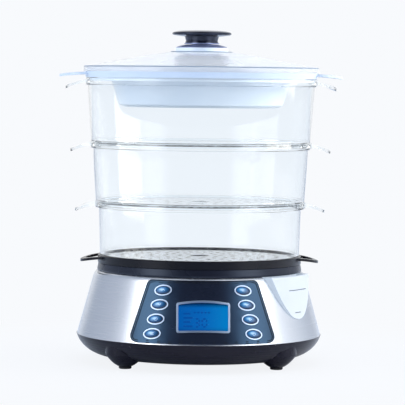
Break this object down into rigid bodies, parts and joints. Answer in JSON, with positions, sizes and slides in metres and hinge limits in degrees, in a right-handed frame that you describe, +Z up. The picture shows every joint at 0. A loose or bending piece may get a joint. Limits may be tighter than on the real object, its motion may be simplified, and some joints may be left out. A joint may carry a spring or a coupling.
{
  "type": "electric food steamer",
  "caption": "Round tiered steamer: powered base with display panel and water tank, drip tray, nesting clear baskets with loop handles, rice bowl and clear lid with a knob.",
  "frame": {"origin": "on the table under the middle of the round base", "axes": "+Z up, +X to the right seen from the front, -Y towards the control panel"},
  "size_m": [0.34, 0.2939, 0.3976],
  "materials": {
    "skirt_plastic": "glossy moulded black plastic with a blue cast",
    "tray_plastic": "glossy moulded black plastic",
    "rubber": "matt",
    "cover_plastic": "fine textured black",
    "steel": "finely brushed round the shell",
    "collar_plastic": "satin dark slate",
    "panel_plastic": "glossy dark slate blue",
    "tank_plastic": "satin heat-resistant moulding",
    "silicone": "matt red silicone",
    "cast_alloy": "cast, with a satin top",
    "element_sheath": "satin tube",
    "plated_steel": "zinc plated",
    "ceramic_body": "matt",
    "fuse_sleeve": "woven glass sleeve",
    "inlet_clear": "frosted translucent plastic",
    "seal_grey": "matt grey silicone",
    "silver_trim": "satin silver plating",
    "display_window": "clear window over the display",
    "display": "lit blue liquid crystal",
    "holder_plastic": "white moulding",
    "board": "green solder mask",
    "switch_plastic": "black moulding",
    "relay_plastic": "blue moulding",
    "winding": "yellow tape over windings",
    "button_cap": "glossy navy",
    "ring_plastic": "pale grey moulding",
    "basket_clear": "clear polycarbonate, thin grey-blue edges",
    "floor_clear": "clear polycarbonate",
    "bowl_plastic": "white translucent plastic",
    "lid_clear": "clear polycarbonate",
    "washer_metal": "polished",
    "knob_plastic": "glossy black"
  },
  "bodies": {
    "base": {"foot_pads": "rubber", "bottom_cover": "cover_plastic", "cover_screws": "plated_steel", "lower_housing": "skirt_plastic", "tank_screws": "plated_steel", "steel_shell": "steel", "top_collar": "collar_plastic", "water_tank": "tank_plastic", "tank_throat": "tank_plastic", "heater_gasket": "silicone", "heater_plate": "cast_alloy", "heater_element": "element_sheath", "heater_clamp": "plated_steel", "clamp_screws": "plated_steel", "thermostat": "ceramic_body", "thermal_fuse": "fuse_sleeve", "water_inlet": "inlet_clear", "inlet_seal": "seal_grey", "control_fascia": "panel_plastic", "lcd_frame": "silver_trim", "lcd_window": "display_window", "lcd_module": "display", "lcd_holder": "holder_plastic", "button_rims": "silver_trim", "control_board": "board", "tact_switches": "switch_plastic", "board_screws": "plated_steel", "buzzer": "switch_plastic", "power_board": "board", "relay": "relay_plastic", "transformer": "winding", "power_board_screws": "plated_steel", "cord_gland": "rubber"},
    "steam_ring": {"steam_ring": "ring_plastic"},
    "drip_tray": {"drip_tray": "tray_plastic"},
    "lower_basket": {"basket_lower": "basket_clear", "handles_lower": "basket_clear", "floor_lower": "floor_clear"},
    "middle_basket": {"basket_middle": "basket_clear", "handles_middle": "basket_clear", "floor_middle": "floor_clear"},
    "upper_basket": {"basket_upper": "basket_clear", "handles_upper": "basket_clear", "floor_upper": "floor_clear"},
    "rice_bowl": {"rice_bowl": "bowl_plastic", "bowl_ears": "bowl_plastic"},
    "lid": {"lid_dome": "lid_clear", "knob_washer": "washer_metal", "lid_knob": "knob_plastic", "knob_retainer": "bowl_plastic", "knob_screw": "plated_steel"},
    "button_1": {"button_1": "button_cap"},
    "button_2": {"button_2": "button_cap"},
    "button_3": {"button_3": "button_cap"},
    "button_4": {"button_4": "button_cap"},
    "button_5": {"button_5": "button_cap"},
    "button_6": {"button_6": "button_cap"},
    "button_7": {"button_7": "button_cap"},
    "button_8": {"button_8": "button_cap"}
  },
  "joints": [
    {"name": "steam_ring_lift", "type": "slide", "parent": "base", "child": "steam_ring", "axis": [0, 0, 1], "range_m": [0, 0.01]},
    {"name": "drip_tray_lift", "type": "slide", "parent": "base", "child": "drip_tray", "axis": [0, 0, 1], "range_m": [0, 0.06]},
    {"name": "lower_basket_lift", "type": "slide", "parent": "drip_tray", "child": "lower_basket", "axis": [0, 0, 1], "range_m": [0, 0.06]},
    {"name": "middle_basket_lift", "type": "slide", "parent": "lower_basket", "child": "middle_basket", "axis": [0, 0, 1], "range_m": [0, 0.06]},
    {"name": "upper_basket_lift", "type": "slide", "parent": "middle_basket", "child": "upper_basket", "axis": [0, 0, 1], "range_m": [0, 0.06]},
    {"name": "rice_bowl_lift", "type": "slide", "parent": "upper_basket", "child": "rice_bowl", "axis": [0, 0, 1], "range_m": [0, 0.06]},
    {"name": "lid_lift", "type": "slide", "parent": "rice_bowl", "child": "lid", "axis": [0, 0, 1], "range_m": [0, 0.08]},
    {"name": "button_1_press", "type": "slide", "parent": "base", "child": "button_1", "axis": [0, 0.9637, -0.2668], "range_m": [0, 0.0008], "stiffness_N_per_m": 400, "springref_m": -0.0005},
    {"name": "button_2_press", "type": "slide", "parent": "base", "child": "button_2", "axis": [0, 0.9637, -0.2668], "range_m": [0, 0.0008], "stiffness_N_per_m": 400, "springref_m": -0.0005},
    {"name": "button_3_press", "type": "slide", "parent": "base", "child": "button_3", "axis": [0, 0.9637, -0.2668], "range_m": [0, 0.0008], "stiffness_N_per_m": 400, "springref_m": -0.0005},
    {"name": "button_4_press", "type": "slide", "parent": "base", "child": "button_4", "axis": [0, 0.9637, -0.2668], "range_m": [0, 0.0008], "stiffness_N_per_m": 400, "springref_m": -0.0005},
    {"name": "button_5_press", "type": "slide", "parent": "base", "child": "button_5", "axis": [0, 0.9637, -0.2668], "range_m": [0, 0.0008], "stiffness_N_per_m": 400, "springref_m": -0.0005},
    {"name": "button_6_press", "type": "slide", "parent": "base", "child": "button_6", "axis": [0, 0.9637, -0.2668], "range_m": [0, 0.0008], "stiffness_N_per_m": 400, "springref_m": -0.0005},
    {"name": "button_7_press", "type": "slide", "parent": "base", "child": "button_7", "axis": [0, 0.9637, -0.2668], "range_m": [0, 0.0008], "stiffness_N_per_m": 400, "springref_m": -0.0005},
    {"name": "button_8_press", "type": "slide", "parent": "base", "child": "button_8", "axis": [0, 0.9637, -0.2668], "range_m": [0, 0.0008], "stiffness_N_per_m": 400, "springref_m": -0.0005}
  ]
}
